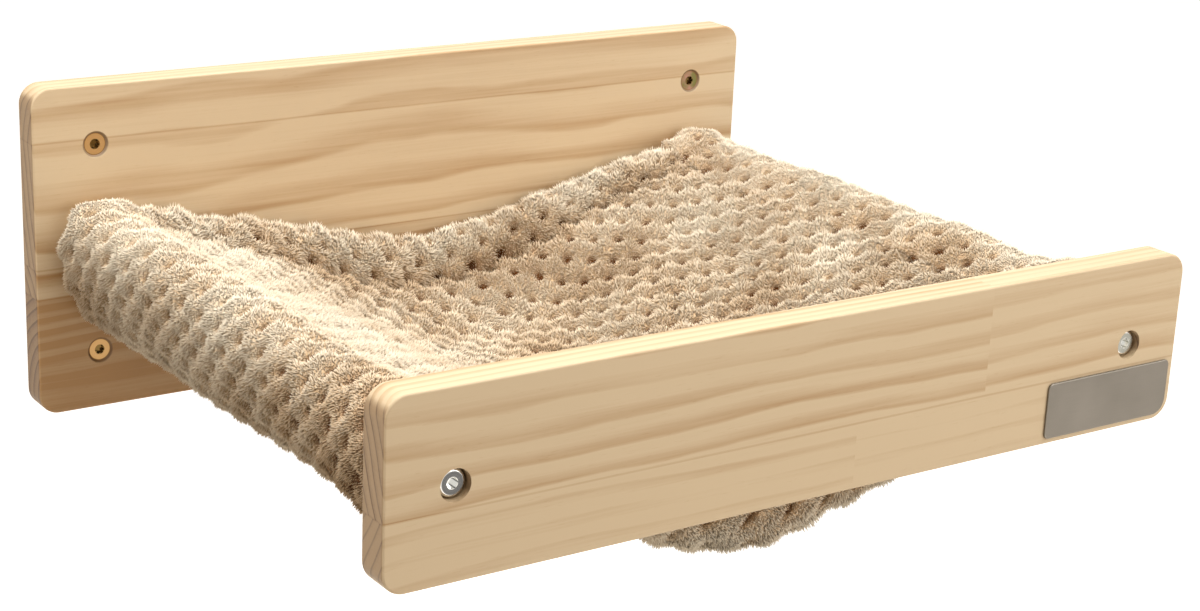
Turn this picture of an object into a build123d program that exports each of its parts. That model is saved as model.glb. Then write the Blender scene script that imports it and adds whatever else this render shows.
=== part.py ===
# Wall-mounted cat hammock: two pine boards, two round rods bolted between them,
# and a padded plush mat that hangs from the rods by a sleeve at each side.
# Millimetres. The origin is the centre of the back board's wall face.
# +X is right as seen from the room, +Y points into the wall, +Z is up.

import os
from math import acos, asin, atan2, cos, hypot, sin

from build123d import *

os.makedirs("parts", exist_ok=True)

# Boards
board_width = 460
board_thickness = 18
back_board_height = 180
front_board_height = 88
overall_depth = 395
board_corner_radius = 11
board_edge_ease = 1.2

# Rods between the boards
rod_diameter = 25
rod_end_distance = 34
rod_end_ease = 0.8

# Low socket head bolts, two through each board into the rod ends
bolt_thread_diameter = 8
bolt_head_diameter = 13
bolt_head_height = 5
bolt_length = 35
bolt_head_round = 1.4
bolt_tip_bevel = 1
bolt_recess = 2.8
hex_across_flats = 5
hex_depth = 3
counterbore_diameter = 15
bolt_hole_diameter = 8.6

# Threaded inserts in the rod ends
insert_diameter = 12
insert_length = 22
insert_bore = 8.2
insert_rib_height = 0.7
insert_rib_pitch = 3.5
insert_hole_clearance = 0.1
bolt_pocket_diameter = 9
bolt_pocket_spare = 3

# Countersunk screws that hold the back board to the wall
screw_end_distance = 35
screw_edge_distance = 32.5
screw_length = 60
screw_head_diameter = 12
screw_shank_diameter = 4.3
screw_thread_diameter = 6
screw_core_diameter = 3.9
screw_thread_pitch = 3
screw_shank_into_wall = 6
screw_tip_length = 6
screw_seat_clearance = 0.1
star_diameter = 5.6
star_lobe_diameter = 1.5
star_depth = 2.2
screw_hole_diameter = 7
countersink_diameter = 14.6
countersink_angle = 90

# Bare metal plate in the lower right corner of the front board
plate_width = 84
plate_height = 29
plate_thickness = 1
plate_side_inset = 4
plate_bottom_inset = 3
plate_corner_radius = 3
plate_edge_round = 0.5
adhesive_thickness = 0.3
adhesive_inset = 2

# Plush mat: layers, measured down from the mat's top face
plush_thickness = 10
wadding_thickness = 4
layer_clearance = 0.3
rod_clearance = 0.3
board_clearance = 0.5
seam_clearance = 0.3

# The trough: its bottom radius, and how far its middle hangs below the rods' axes
trough_radius = 140
seat_sag = 57
back_crease_sag = 40
back_roll_sag = 18
back_edge_sag = 22
front_roll_sag = 50
front_edge_sag = 48

# Where along the depth those sags lie, from the wall, and the width of the edge rolls
full_sag_depth = 110
edge_roll_width = 27
edge_roll_crest = 12
edge_round = 5
edge_round_height = 6

# The sleeves' slack under the rods, and where they are sewn under the mat
back_slack_radius = 47
front_slack_radius = 35
mat_end_gap = 18
sleeve_seam_reach = 70

# Sizes worked out from the ones above
rod_spacing = board_width - 2 * rod_end_distance
rod_reach = rod_spacing / 2
rod_radius = rod_diameter / 2
rod_length = overall_depth - 2 * board_thickness
counterbore_depth = bolt_head_height + bolt_recess
bolt_bite = bolt_length - (board_thickness - counterbore_depth)
wrap_radius = rod_radius + rod_clearance + plush_thickness
wadding_top = plush_thickness + layer_clearance
wadding_bottom = wadding_top + wadding_thickness
belly_top = wadding_bottom + layer_clearance
mat_thickness = belly_top + plush_thickness

wall_screw_spacing_x = board_width - 2 * screw_end_distance
wall_screw_spacing_z = back_board_height - 2 * screw_edge_distance

back_face = Plane.XZ
back_board_front = Plane.XZ.offset(board_thickness)
front_board_back = Plane.XZ.offset(overall_depth - board_thickness)
front_face = Plane.XZ.offset(overall_depth)
sides = {"left": -1, "right": 1}
levels = {"upper": 1, "lower": -1}


def finish(builder, name):
    """Label the finished piece and write it to its own file."""
    builder.part.label = name
    export_step(builder.part, f"parts/{name}.step")


# Back board, with countersunk holes for the wall screws and counterbored
# holes, sunk from the wall side, for the bolts that hold the rods
with BuildPart() as back_board:
    with BuildSketch(back_face):
        RectangleRounded(board_width, back_board_height, board_corner_radius)
    extrude(amount=board_thickness)
    flat_faces = back_board.faces().filter_by(Axis.Y)
    fillet(flat_faces.edges(), radius=board_edge_ease)
    with Locations(back_board_front):
        with GridLocations(wall_screw_spacing_x, wall_screw_spacing_z, 2, 2):
            CounterSinkHole(
                screw_hole_diameter / 2,
                countersink_diameter / 2,
                counter_sink_angle=countersink_angle,
            )
    with Locations(Plane(origin=(0, 0, 0), x_dir=(1, 0, 0), z_dir=(0, 1, 0))):
        with GridLocations(rod_spacing, 0, 2, 1):
            CounterBoreHole(bolt_hole_diameter / 2, counterbore_diameter / 2, counterbore_depth)
finish(back_board, "back_board")

# Front board, lower than the back one, with counterbored holes for its bolts
with BuildPart() as front_board:
    with BuildSketch(front_board_back):
        RectangleRounded(board_width, front_board_height, board_corner_radius)
    extrude(amount=board_thickness)
    flat_faces = front_board.faces().filter_by(Axis.Y)
    fillet(flat_faces.edges(), radius=board_edge_ease)
    with Locations(front_face):
        with GridLocations(rod_spacing, 0, 2, 1):
            CounterBoreHole(bolt_hole_diameter / 2, counterbore_diameter / 2, counterbore_depth)
finish(front_board, "front_board")

# Round wooden rods, butted between the boards, with a stepped pocket in each end:
# the wide step takes the threaded insert and the narrow one the bolt's tip
for side, sign in sides.items():
    rod_back = Plane.XZ.offset(board_thickness).move(Location((sign * rod_reach, 0, 0)))
    with BuildPart() as rod:
        with BuildSketch(rod_back):
            Circle(rod_radius)
        extrude(amount=rod_length)
        chamfer(rod.edges().filter_by(GeomType.CIRCLE), length=rod_end_ease)
        for start, direction in ((0, 1), (rod_length, -1)):
            with BuildSketch(rod_back.offset(start)):
                Circle(insert_diameter / 2 + insert_rib_height + insert_hole_clearance)
            extrude(amount=direction * insert_length, mode=Mode.SUBTRACT)
            with BuildSketch(rod_back.offset(start)):
                Circle(bolt_pocket_diameter / 2)
            extrude(amount=direction * (bolt_bite + bolt_pocket_spare), mode=Mode.SUBTRACT)
    finish(rod, f"rod_{side}")

# Ribbed threaded inserts, flush with the rod ends
for side, sign in sides.items():
    for place, start, direction in (
        ("back", board_thickness, 1),
        ("front", board_thickness + rod_length, -1),
    ):
        mouth = Plane.XZ.offset(start).move(Location((sign * rod_reach, 0, 0)))
        rib_count = int(insert_length / insert_rib_pitch)
        with BuildPart() as insert:
            with BuildSketch(mouth):
                Circle(insert_diameter / 2)
            extrude(amount=direction * insert_length)
            for number in range(rib_count):
                rib_start = (number + 0.5) * insert_rib_pitch
                with BuildSketch(mouth.offset(direction * rib_start)):
                    Circle(insert_diameter / 2 + insert_rib_height)
                extrude(amount=direction * insert_rib_pitch / 2)
            with BuildSketch(mouth):
                Circle(insert_bore / 2)
            extrude(amount=direction * insert_length, mode=Mode.SUBTRACT)
        finish(insert, f"insert_{side}_{place}")

# Socket head bolts: the front pair shows, the back pair is hidden by the wall
for side, sign in sides.items():
    for place, head_depth, direction in (
        ("back", bolt_recess, 1),
        ("front", overall_depth - bolt_recess, -1),
    ):
        head_top = Plane.XZ.offset(head_depth).move(Location((sign * rod_reach, 0, 0)))
        with BuildPart() as bolt:
            with BuildSketch(head_top):
                Circle(bolt_head_diameter / 2)
            extrude(amount=direction * bolt_head_height)
            rims = bolt.edges().filter_by(GeomType.CIRCLE).sort_by(Axis.Y)
            fillet(rims[-1] if direction > 0 else rims[0], radius=bolt_head_round)
            with BuildSketch(head_top.offset(direction * bolt_head_height)):
                Circle(bolt_thread_diameter / 2)
            extrude(amount=direction * bolt_length)
            rims = bolt.edges().filter_by(GeomType.CIRCLE).sort_by(Axis.Y)
            chamfer(rims[0] if direction > 0 else rims[-1], length=bolt_tip_bevel)
            with BuildSketch(head_top):
                RegularPolygon(hex_across_flats / 2, 6, major_radius=False)
            extrude(amount=direction * hex_depth, mode=Mode.SUBTRACT)
        finish(bolt, f"bolt_{side}_{place}")

# Wall screws: countersunk star-drive heads, a plain shank through the board,
# and a coarse thread that stands out of the board's back into the wall
sink = (countersink_diameter - screw_head_diameter) / 2 - screw_seat_clearance
head_height = (screw_head_diameter - screw_shank_diameter) / 2
thread_start = board_thickness - sink + screw_shank_into_wall
turns = int((screw_length - screw_tip_length - thread_start) / screw_thread_pitch)
core = screw_core_diameter / 2
crest = screw_thread_diameter / 2
for level, rise in levels.items():
    for side, sign in sides.items():
        x = sign * wall_screw_spacing_x / 2
        z = rise * wall_screw_spacing_z / 2
        y = sink - board_thickness
        with BuildPart() as wall_screw:
            with BuildSketch(Plane(origin=(x, y, z), x_dir=(1, 0, 0), z_dir=(0, 0, 1))):
                with BuildLine():
                    outline = [
                        (0, 0),
                        (screw_head_diameter / 2, 0),
                        (screw_shank_diameter / 2, head_height),
                        (screw_shank_diameter / 2, thread_start),
                        (core, thread_start),
                    ]
                    for turn in range(turns):
                        root = thread_start + turn * screw_thread_pitch
                        outline.append((crest, root + screw_thread_pitch / 2))
                        outline.append((core, root + screw_thread_pitch))
                    outline.append((0, screw_length))
                    Polyline(*outline, close=True)
                make_face()
            revolve(axis=Axis((x, y, z), (0, 1, 0)))
            with BuildSketch(Plane(origin=(x, y, z), x_dir=(1, 0, 0), z_dir=(0, 1, 0))):
                Circle((star_diameter - star_lobe_diameter) / 2)
                with PolarLocations((star_diameter - star_lobe_diameter) / 2, 6):
                    Circle(star_lobe_diameter / 2)
            extrude(amount=star_depth, mode=Mode.SUBTRACT)
        finish(wall_screw, f"wall_screw_{level}_{side}")


def plate_outline(sketch, inset):
    """Corner plate: its lower right corner follows the rounded corner of the board."""
    right = board_width / 2 - plate_side_inset
    bottom = plate_bottom_inset - front_board_height / 2
    with Locations((right - plate_width / 2, bottom + plate_height / 2)):
        Rectangle(plate_width - 2 * inset, plate_height - 2 * inset)
    left_corners = sketch.vertices().group_by(Axis.X)[0]
    upper_right = sketch.vertices().group_by(Axis.X)[-1].sort_by(Axis.Y)[-1]
    corner = max(plate_corner_radius - inset, plate_edge_round)
    fillet([*left_corners, upper_right], radius=corner)
    lower_right = sketch.vertices().group_by(Axis.X)[-1].sort_by(Axis.Y)[0]
    fillet(lower_right, radius=board_corner_radius - plate_bottom_inset - inset)


# Adhesive film and the plate that it holds
with BuildPart() as plate_adhesive:
    with BuildSketch(front_face) as film:
        plate_outline(film, adhesive_inset)
    extrude(amount=adhesive_thickness)
finish(plate_adhesive, "plate_adhesive")

with BuildPart() as corner_plate:
    with BuildSketch(front_face.offset(adhesive_thickness)) as blank:
        plate_outline(blank, 0)
    extrude(amount=plate_thickness)
    fillet(corner_plate.faces().sort_by(Axis.Y)[0].edges(), radius=plate_edge_round)
finish(corner_plate, "corner_plate")


# Sections of the mat, across the hammock. Each is a trough arc between two
# straight flanks that rise to the rods. A point lies at a drop below the top face.
def flank_slope(sag):
    """Angle of the flank that touches the trough's arc and the wrap over the rod."""
    centre_height = trough_radius - sag
    span = hypot(rod_reach, centre_height)
    return asin((trough_radius + wrap_radius) / span) - atan2(centre_height, rod_reach)


def trough_end(sag, drop):
    """Where the trough's arc meets the flank."""
    slope = flank_slope(sag)
    radius = trough_radius + drop
    return radius * sin(slope), trough_radius - sag - radius * cos(slope)


def flank_point(sag, drop, before_rod):
    """A point on the flank, so far before it touches the wrap over the rod."""
    slope = flank_slope(sag)
    radius = wrap_radius - drop
    x = rod_reach - radius * sin(slope) - before_rod * cos(slope)
    z = radius * cos(slope) - before_rod * sin(slope)
    return x, z


def mirrored(point):
    return -point[0], point[1]


def mat_section(sag, top_drop, bottom_drop):
    """Outline of one layer of the mat between two drops, from flank end to flank end."""
    upper_end = flank_point(sag, top_drop, mat_end_gap)
    lower_end = flank_point(sag, bottom_drop, mat_end_gap)
    upper_turn = trough_end(sag, top_drop)
    lower_turn = trough_end(sag, bottom_drop)
    with BuildLine() as outline:
        Line(mirrored(upper_end), mirrored(upper_turn))
        ThreePointArc(mirrored(upper_turn), (0, -sag - top_drop), upper_turn)
        Line(upper_turn, upper_end)
        Line(upper_end, lower_end)
        Line(lower_end, lower_turn)
        ThreePointArc(lower_turn, (0, -sag - bottom_drop), mirrored(lower_turn))
        Line(mirrored(lower_turn), mirrored(lower_end))
        Line(mirrored(lower_end), mirrored(upper_end))
    make_face(outline.edges())


def on_circle(centre, radius, angle):
    return centre[0] + radius * cos(angle), centre[1] + radius * sin(angle)


def sleeve_section(sag, slack_radius, sign):
    """Outline of a sleeve: off the flank, over and round the rod, and slack under it,
    back to the mat's underside where it is sewn."""
    slope = flank_slope(sag)
    axis = (rod_reach, 0)
    slack_centre = (rod_reach + wrap_radius - slack_radius, 0)
    seam = flank_point(sag, mat_thickness + layer_clearance, sleeve_seam_reach)
    across = seam[0] - slack_centre[0]
    down = slack_centre[1] - seam[1]
    inner_radius = slack_radius - plush_thickness
    tilt = atan2(across, down) + acos(inner_radius / hypot(across, down))
    faces = []
    for drop in (0, plush_thickness):
        wrap = wrap_radius - drop
        slack = slack_radius - drop
        start = flank_point(sag, drop, mat_end_gap - seam_clearance)
        touch = flank_point(sag, drop, 0)
        crown = on_circle(axis, wrap, (slope + asin(1)) / 2)
        outside = (rod_reach + wrap, 0)
        low_middle = on_circle(slack_centre, slack, (tilt - asin(1)) / 2)
        low = on_circle(slack_centre, slack, tilt - asin(1))
        out = plush_thickness - drop
        end = (seam[0] + out * sin(tilt), seam[1] - out * cos(tilt))
        faces.append([start, touch, crown, outside, low_middle, low, end])
    outer, inner = [[(sign * x, z) for x, z in path] for path in faces]
    with BuildLine() as outline:
        for path in (outer, inner):
            start, touch, crown, outside, low_middle, low, end = path
            Line(start, touch)
            ThreePointArc(touch, crown, outside)
            ThreePointArc(outside, low_middle, low)
            Line(low, end)
        Line(outer[0], inner[0])
        Line(outer[-1], inner[-1])
    make_face(outline.edges())


# Depths from the wall at which the sections stand
back_edge = board_thickness + board_clearance
back_shoulder = back_edge + edge_round
back_crest = back_edge + edge_roll_crest
back_crease = back_edge + edge_roll_width
front_edge = overall_depth - board_thickness - board_clearance
front_shoulder = front_edge - edge_round
front_crest = front_edge - edge_roll_crest
front_crease = front_edge - edge_roll_width
middle_slack_radius = (back_slack_radius + front_slack_radius) / 2

# Seat: plush top layer, wadding and plush belly layer, between the edge rolls
seat_stations = [
    (back_crease + seam_clearance, back_crease_sag),
    (full_sag_depth, seat_sag),
    (front_crease - seam_clearance, seat_sag),
]
for name, top_drop, bottom_drop in (
    ("seat_plush", 0, plush_thickness),
    ("seat_wadding", wadding_top, wadding_bottom),
    ("belly_plush", belly_top, mat_thickness),
):
    with BuildPart() as layer:
        for depth, sag in seat_stations:
            with BuildSketch(Plane.XZ.offset(depth)):
                mat_section(sag, top_drop, bottom_drop)
        loft(ruled=True)
    finish(layer, name)

# Edge rolls: the turned and stuffed hems that close the mat's back and front edges
back_roll_stations = [
    (back_edge, back_edge_sag, edge_round_height, mat_thickness - edge_round_height),
    (back_shoulder, back_roll_sag, 0, mat_thickness - edge_round_height / 2),
    (back_crest, back_roll_sag, 0, mat_thickness),
    (back_crease, back_crease_sag, 0, mat_thickness),
]
front_roll_stations = [
    (front_crease, seat_sag, 0, mat_thickness),
    (front_crest, front_roll_sag, 0, mat_thickness),
    (front_shoulder, front_roll_sag, edge_round_height / 2, mat_thickness - edge_round_height / 2),
    (front_edge, front_edge_sag, edge_round_height, mat_thickness - edge_round_height),
]
for name, stations in (("back_roll", back_roll_stations), ("front_roll", front_roll_stations)):
    with BuildPart() as edge_roll:
        for depth, sag, top_drop, bottom_drop in stations:
            with BuildSketch(Plane.XZ.offset(depth)):
                mat_section(sag, top_drop, bottom_drop)
        loft(ruled=True)
    finish(edge_roll, name)

# Sleeves: plush tunnels that carry the mat on the rods, open at both ends
sleeve_stations = [
    (back_edge, back_edge_sag, back_slack_radius),
    (back_shoulder, back_roll_sag, back_slack_radius),
    (back_crest, back_roll_sag, back_slack_radius),
    (back_crease, back_crease_sag, back_slack_radius),
    (full_sag_depth, seat_sag, middle_slack_radius),
    (front_crease, seat_sag, front_slack_radius),
    (front_crest, front_roll_sag, front_slack_radius),
    (front_edge, front_edge_sag, front_slack_radius),
]
for side, sign in sides.items():
    with BuildPart() as sleeve:
        for depth, sag, slack_radius in sleeve_stations:
            with BuildSketch(Plane.XZ.offset(depth)):
                sleeve_section(sag, slack_radius, sign)
        loft(ruled=True)
    finish(sleeve, f"sleeve_{side}")
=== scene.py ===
# %% [markdown]
# # A wall-mounted cat hammock
# Two pine boards carry two round rods, and a plush mat hangs between them. The hard parts come
# ready made from the CAD frame and only need finishes. The plush is made here, because its look is
# in its pile: about 344,000 short tufts that stand on a dimpled backing. Everything is in metres,
# +X is right, +Y runs into the wall and +Z is up.

import bpy
import numpy as np
from mathutils import Matrix, Vector


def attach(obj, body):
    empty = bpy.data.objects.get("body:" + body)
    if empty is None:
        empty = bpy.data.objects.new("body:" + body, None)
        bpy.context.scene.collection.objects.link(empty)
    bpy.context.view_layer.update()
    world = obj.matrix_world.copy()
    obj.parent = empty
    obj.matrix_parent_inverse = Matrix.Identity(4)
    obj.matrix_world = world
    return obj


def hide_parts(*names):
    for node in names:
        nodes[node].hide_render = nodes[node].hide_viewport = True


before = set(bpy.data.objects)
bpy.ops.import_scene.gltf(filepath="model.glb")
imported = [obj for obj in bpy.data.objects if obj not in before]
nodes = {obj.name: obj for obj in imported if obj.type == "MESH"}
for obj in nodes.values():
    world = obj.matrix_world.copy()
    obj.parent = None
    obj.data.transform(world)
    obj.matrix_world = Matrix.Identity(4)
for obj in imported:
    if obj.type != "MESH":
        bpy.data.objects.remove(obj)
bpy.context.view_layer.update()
scene = bpy.context.scene
MM = 0.001

# %% [markdown]
# ## A short hand for node trees
# Materials and tuft makers are both node trees. Writing every node and link by hand is long, so a
# small wrapper makes a node, fills its sockets and gives back its first output. A value may be a
# number, a colour or another node's output, and the wrapper links or sets it as needed.


# %% Tree wrapper
class Tree:
    def __init__(self, tree):
        self.tree = tree

    def node(self, kind, inputs=(), **settings):
        made = self.tree.nodes.new(kind)
        for name, value in settings.items():
            setattr(made, name, value)
        for key, value in dict(inputs).items():
            self.feed(made.inputs[key], value)
        return made

    def feed(self, socket, value):
        if isinstance(value, bpy.types.NodeSocket):
            self.tree.links.new(value, socket)
        else:
            socket.default_value = value

    def math(self, operation, *values):
        made = self.node("ShaderNodeMath", enumerate(values), operation=operation)
        return made.outputs[0]

    def reach(self, a, b):
        """How long a line is that goes a along one axis and b along the other."""
        return self.math("SQRT", self.math("ADD", self.math("MULTIPLY", a, a), self.math("MULTIPLY", b, b)))

    def vector(self, operation, *values):
        made = self.node("ShaderNodeVectorMath", enumerate(values), operation=operation)
        return made.outputs[0]

    def scaled(self, value, factor):
        made = self.node("ShaderNodeVectorMath", {0: value, "Scale": factor}, operation="SCALE")
        return made.outputs[0]

    def combine(self, x, y, z):
        return self.node("ShaderNodeCombineXYZ", {0: x, 1: y, 2: z}).outputs[0]

    def split(self, value):
        return self.node("ShaderNodeSeparateXYZ", {0: value}).outputs

    def noise(self, where, scale, detail, rough=0.5):
        given = {"Vector": where, "Scale": scale, "Detail": detail, "Roughness": rough}
        return self.node("ShaderNodeTexNoise", given).outputs["Fac"]

    def span(self, value, low, high, to_low=0.0, to_high=1.0, smooth=False):
        kind = "SMOOTHSTEP" if smooth else "LINEAR"
        given = {"Value": value, "From Min": low, "From Max": high}
        given.update({"To Min": to_low, "To Max": to_high})
        return self.node("ShaderNodeMapRange", given, interpolation_type=kind).outputs[0]

    def mix(self, factor, a, b):
        made = self.node("ShaderNodeMix", data_type="RGBA")
        for socket, value in zip((made.inputs[0], made.inputs[6], made.inputs[7]), (factor, a, b)):
            self.feed(socket, value)
        return made.outputs[2]

    def ramp(self, factor, stops):
        made = self.node("ShaderNodeValToRGB", {0: factor})
        points = made.color_ramp.elements
        while len(points) < len(stops):
            points.new(1.0)
        for point, (place, colour) in zip(points, stops):
            point.position = place
            point.color = colour
        return made.outputs[0]


def srgb(r, g, b):
    """A colour written as it looks on screen, 0 to 255, turned into linear light."""
    parts = [c / 255 for c in (r, g, b)]
    return (*[p / 12.92 if p <= 0.04045 else ((p + 0.055) / 1.055) ** 2.4 for p in parts], 1.0)


def new_material(name, **fixed):
    """A material with its Principled shader; fixed numbers go straight on the shader's sockets."""
    made = bpy.data.materials.new(name)
    made.use_nodes = True
    shader = made.node_tree.nodes["Principled BSDF"]
    for key, value in fixed.items():
        shader.inputs[key.replace("_", " ")].default_value = value
    return made, Tree(made.node_tree), shader


def bump(tree, shader, height, distance, strength):
    given = {"Height": height, "Distance": distance, "Strength": strength}
    tree.feed(shader.inputs["Normal"], tree.node("ShaderNodeBump", given).outputs[0])


# %% [markdown]
# ## Pine
# A board is sawn from a trunk, so its streaks are slices through growth rings. A flat picture of
# grain would not join up over the edges, and the end grain would be wrong. So the rings are made in
# space: each glued strip of a board has its own trunk centre, the distance from that centre counts
# the rings, and slow noise bends them. Each ring is pale where the tree grew in spring and darkens
# to a firm line in late summer. Long thin noise adds the fibres, and a thin dark line marks the
# glue between two strips. Each strip of the front board has a butt joint: the wood beyond it is a
# little paler and fainter, and its grain doesn't line up.


# %% Places and colours on the boards
SCREW_X, SCREW_Z, ROD_X = 0.195, 0.0575, 0.196
PALE, LATE = srgb(213, 190, 155), srgb(171, 131, 84)
END_PALE_AND_SHADE, END_LATE_AND_SHADE = srgb(156, 127, 93), srgb(90, 66, 44)
SINK_SHADE = srgb(100, 70, 40)
JOINT_TONE, JOINT_CONTRAST, JOINT_SHIFT, JOINT_RINGS = 0.03, 0.35, 0.012, 5.22
NO_JOINT = 9.0


def across_axis(t, x, z, off_x, off_z):
    """Distance from the nearest of the axes that run into the wall at +-off_x and +-off_z."""
    out_x = t.math("SUBTRACT", t.math("ABSOLUTE", x), off_x)
    out_z = t.math("SUBTRACT", t.math("ABSOLUTE", z), off_z)
    return t.reach(out_x, out_z)


# %% Pine maker
def strip_facts(t, z, strips):
    """strips, from the top: upper limit, trunk centre y and z, shift, contrast, tone, joint x."""
    facts = list(strips[0][1:])
    glue = 0.0
    for above, *own in strips[1:]:
        past = t.math("LESS_THAN", z, above)
        facts = [t.math("ADD", t.math("MULTIPLY", past, t.math("SUBTRACT", new, old)), old)
                 for old, new in zip(facts, own)]
        near = t.math("ABSOLUTE", t.math("SUBTRACT", z, above))
        glue = t.math("ADD", t.span(near, 0.0002, 0.0008, 1.0, 0.0, smooth=True), glue)
    return facts, glue


def stretched(t, x, y, z, along, across, detail=2.0, rough=0.5):
    """Noise that is long with the grain and short across it."""
    where = t.combine(t.math("MULTIPLY", x, along), t.math("MULTIPLY", y, across),
                      t.math("MULTIPLY", z, across))
    return t.noise(where, 1.0, detail, rough)


def pine(name, strips, pale, ring, lean=0.035, sinks=None):
    """ring is the width of a year's growth, and lean how far the trunk's middle climbs along x."""
    made, t, shader = new_material(name, Roughness=0.52)
    x, y, z = t.split(t.node("ShaderNodeTexCoord").outputs["Object"])
    (centre_y, centre_z, shift, contrast, tone, joint), glue = strip_facts(t, z, strips)
    beyond = t.math("GREATER_THAN", x, joint)
    tone = t.math("SUBTRACT", tone, t.math("MULTIPLY", beyond, JOINT_TONE))
    fainter = t.math("SUBTRACT", 1.0, t.math("MULTIPLY", beyond, JOINT_CONTRAST))
    contrast = t.math("MULTIPLY", contrast, fainter)
    along = t.math("ADD", x, t.math("ADD", shift, t.math("MULTIPLY", beyond, JOINT_SHIFT)))
    slow = stretched(t, along, y, z, 4.6, 11.0, 2.0, 0.5)
    patch = stretched(t, along, y, z, 2.6, 26.0, 2.0, 0.5)
    ripple = stretched(t, along, y, z, 16.0, 45.0)
    wave = t.math("ADD", t.math("MULTIPLY", t.math("SUBTRACT", slow, 0.5), 0.0115),
                  t.math("MULTIPLY", t.math("SUBTRACT", ripple, 0.5), 0.0016))
    dy = t.math("SUBTRACT", y, centre_y)
    dz = t.math("SUBTRACT", t.math("SUBTRACT", z, centre_z), t.math("MULTIPLY", x, lean))
    count = t.math("DIVIDE", t.math("ADD", t.reach(dy, dz), wave), ring)
    count = t.math("ADD", count, t.math("MULTIPLY", beyond, JOINT_RINGS))
    phase, whole = t.math("FRACT", count), t.math("FLOOR", count)
    bold = t.node("ShaderNodeTexWhiteNoise", {"W": whole}, noise_dimensions="1D").outputs["Value"]
    band = t.math("MULTIPLY", t.span(phase, 0.22, 0.72, smooth=True),
                  t.span(phase, 0.80, 1.0, 1.0, 0.0, smooth=True))
    line = t.math("MULTIPLY", t.span(phase, 0.68, 0.86, smooth=True),
                  t.span(phase, 0.88, 0.98, 1.0, 0.0, smooth=True))
    rings = t.math("ADD", t.math("MULTIPLY", band, 0.72), t.math("MULTIPLY", line, 0.28))
    rings = t.math("MULTIPLY", rings, t.span(bold, 0.0, 1.0, 0.45, 1.25))
    rings = t.math("MULTIPLY", rings, contrast)
    fibre = stretched(t, along, y, z, 14.0, 900.0, 3.0, 0.6)
    streak = stretched(t, along, y, z, 7.0, 190.0)
    fleck = t.span(stretched(t, along, y, z, 150.0, 1900.0, 1.0), 0.66, 0.78)
    dark = t.math("MULTIPLY", rings, t.span(streak, 0.3, 0.7, 0.70, 1.15))
    for part, share in ((fibre, 0.34), (streak, 0.36), (patch, 0.40)):
        dark = t.math("ADD", dark, t.math("MULTIPLY", t.math("SUBTRACT", part, 0.5), share))
    for part, share in ((tone, 1.0), (fleck, 0.16), (glue, 0.35)):
        dark = t.math("ADD", dark, t.math("MULTIPLY", part, share))
    colour = t.mix(t.node("ShaderNodeClamp", {0: dark}).outputs[0], pale, LATE)
    # End faces take the end grain's darker colour, made darker still as painted shade that holds the ends
    # dark under the left lamp.
    normal_x = t.math("ABSOLUTE", t.split(t.node("ShaderNodeNewGeometry").outputs["Normal"])[0])
    end = t.span(normal_x, 0.75, 0.95, smooth=True)
    cut = t.math("ADD", t.math("MULTIPLY", dark, 0.5), t.math("MULTIPLY", line, 0.6))
    end_grain_and_shade = t.mix(t.node("ShaderNodeClamp", {0: cut}).outputs[0], END_PALE_AND_SHADE, END_LATE_AND_SHADE)
    colour = t.mix(t.math("MULTIPLY", end, 0.85), colour, end_grain_and_shade)
    if sinks:
        far = across_axis(t, x, z, *sinks)
        colour = t.mix(t.span(far, 0.0067, 0.0075, 0.75, 0.0, smooth=True), colour, SINK_SHADE)
    t.feed(shader.inputs["Base Color"], colour)
    t.feed(shader.inputs["Roughness"], t.span(fibre, 0.2, 0.8, 0.46, 0.62))
    bump(t, shader, t.math("SUBTRACT", fibre, t.math("MULTIPLY", dark, 0.5)), 0.00012, 0.5)
    return made


# %% Pine for the boards and rods
# The back board's lower two strips are darker in tone: partly their own wood and partly painted shade of the
# mat that hangs above them.
back_strips = [(0.1, -0.290, 0.005, 0.0, 0.66, 0.0, NO_JOINT),
               (0.0606, -0.304, 0.112, 0.7, 0.74, 0.0, NO_JOINT),
               (-0.0083, 0.035, -0.045, 1.3, 0.8, 0.20, NO_JOINT),
               (-0.0244, -0.045, -0.075, 2.1, 0.8, 0.75, NO_JOINT)]
front_strips = [(0.1, -0.628, 0.115, 3.4, 0.78, -0.02, 0.0995),
                (-0.0110, -0.628, -0.150, 4.6, 0.40, -0.04, 0.020)]
rod_strips = [(0.1, -0.02, 0.03, 5.0, 0.8, 0.0, NO_JOINT)]
back_pine = pine("pine_back_board", back_strips, PALE, ring=0.0062, sinks=(SCREW_X, SCREW_Z))
front_pine = pine("pine_front_board", front_strips, PALE, ring=0.0053, lean=0.012)
rod_pine = pine("pine_rods", rod_strips, srgb(206, 178, 138), ring=0.004)
print("pine:", back_pine.name, front_pine.name, rod_pine.name)

# %% [markdown]
# ## Metals
# The wall screws are zinc plated and passivated yellow: gold with a faint drift to green and pink.
# The rod bolts are bright nickel with turning marks round their axes. The corner plate is rolled
# steel, brushed along its length. Each mark pattern follows the way the real piece is made. In
# the picture the left screws are golden and the upper right one is greenish, and the left bolt is
# dark where the right one is pale, so here a head's tone changes from left to right: partly the
# screws' passivation and partly painted reflection, and on the bolts painted reflection. The
# screws' dark recesses and rims are painted shade, and the bolts' pale sockets and rims are
# painted reflection.


# %% Metal finishes
def plated(name, low, high, rough):
    made, t, shader = new_material(name, Metallic=1.0)
    where = t.node("ShaderNodeTexCoord").outputs["Object"]
    drift = t.noise(where, 260.0, 2.0, 0.5)
    fine = t.noise(where, 3200.0, 2.0, 0.6)
    t.feed(shader.inputs["Base Color"], t.mix(t.span(drift, 0.35, 0.65), low, high))
    t.feed(shader.inputs["Roughness"], t.span(fine, 0.3, 0.7, rough - 0.05, rough + 0.07))
    bump(t, shader, fine, 0.00003, 0.4)
    return made


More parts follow.
